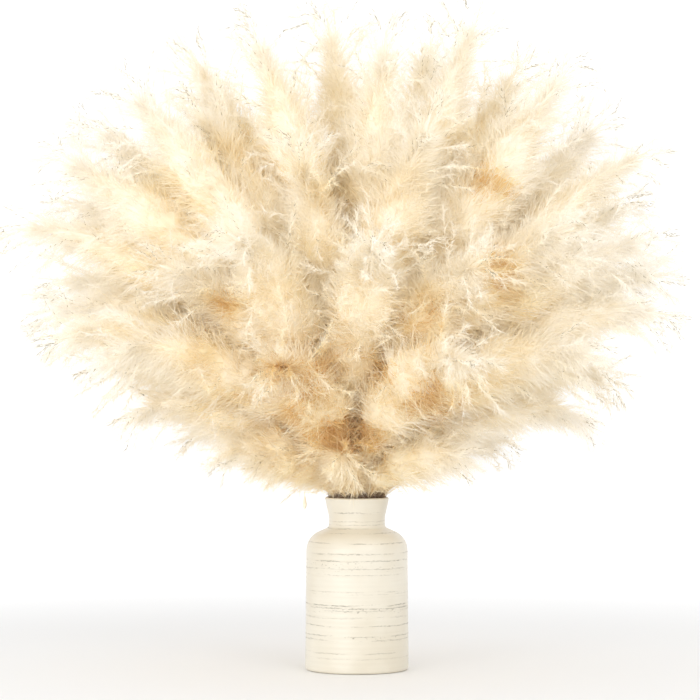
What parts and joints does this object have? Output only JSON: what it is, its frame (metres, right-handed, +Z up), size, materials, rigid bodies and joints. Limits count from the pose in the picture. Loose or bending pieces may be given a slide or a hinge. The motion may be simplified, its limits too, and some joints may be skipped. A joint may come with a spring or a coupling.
{
  "type": "bundle of pampas grass",
  "caption": "Fanned bundle of cream dried pampas grass plumes standing in a bottle-necked ceramic vase, feathery heads arching outwards and nodding at the sides.",
  "frame": {"origin": "centre of the vase's flat foot, on the surface it stands on", "axes": "+Z up along the vase's axis; +X to the right along the bundle's wide side; +Y away from the viewer, along its shallow side"},
  "size_m": [0.772, 0.5028, 0.7684],
  "materials": {
    "vase_ceramic": "satin",
    "dried_grass": "matte"
  },
  "bodies": {
    "root": {"vase": "vase_ceramic", "plume_01": "dried_grass", "plume_02": "dried_grass", "plume_03": "dried_grass", "plume_04": "dried_grass", "plume_05": "dried_grass", "plume_06": "dried_grass", "plume_07": "dried_grass", "plume_08": "dried_grass", "plume_09": "dried_grass", "plume_10": "dried_grass", "plume_11": "dried_grass", "plume_12": "dried_grass", "plume_13": "dried_grass", "plume_14": "dried_grass", "plume_15": "dried_grass", "plume_16": "dried_grass", "plume_17": "dried_grass", "plume_18": "dried_grass", "plume_19": "dried_grass", "plume_20": "dried_grass", "plume_21": "dried_grass", "plume_22": "dried_grass", "plume_23": "dried_grass", "plume_24": "dried_grass", "plume_25": "dried_grass", "plume_26": "dried_grass", "plume_27": "dried_grass", "plume_28": "dried_grass", "plume_29": "dried_grass", "plume_30": "dried_grass", "plume_31": "dried_grass", "plume_32": "dried_grass", "plume_33": "dried_grass", "plume_34": "dried_grass", "plume_35": "dried_grass", "plume_36": "dried_grass", "plume_37": "dried_grass", "plume_38": "dried_grass", "plume_39": "dried_grass", "plume_40": "dried_grass", "plume_41": "dried_grass", "plume_42": "dried_grass", "plume_43": "dried_grass", "plume_44": "dried_grass", "plume_45": "dried_grass", "plume_46": "dried_grass", "plume_47": "dried_grass", "plume_48": "dried_grass", "plume_49": "dried_grass", "plume_50": "dried_grass", "plume_51": "dried_grass", "plume_52": "dried_grass", "plume_53": "dried_grass", "plume_54": "dried_grass", "plume_55": "dried_grass", "plume_56": "dried_grass", "plume_57": "dried_grass", "plume_58": "dried_grass", "plume_59": "dried_grass"}
  },
  "joints": []
}
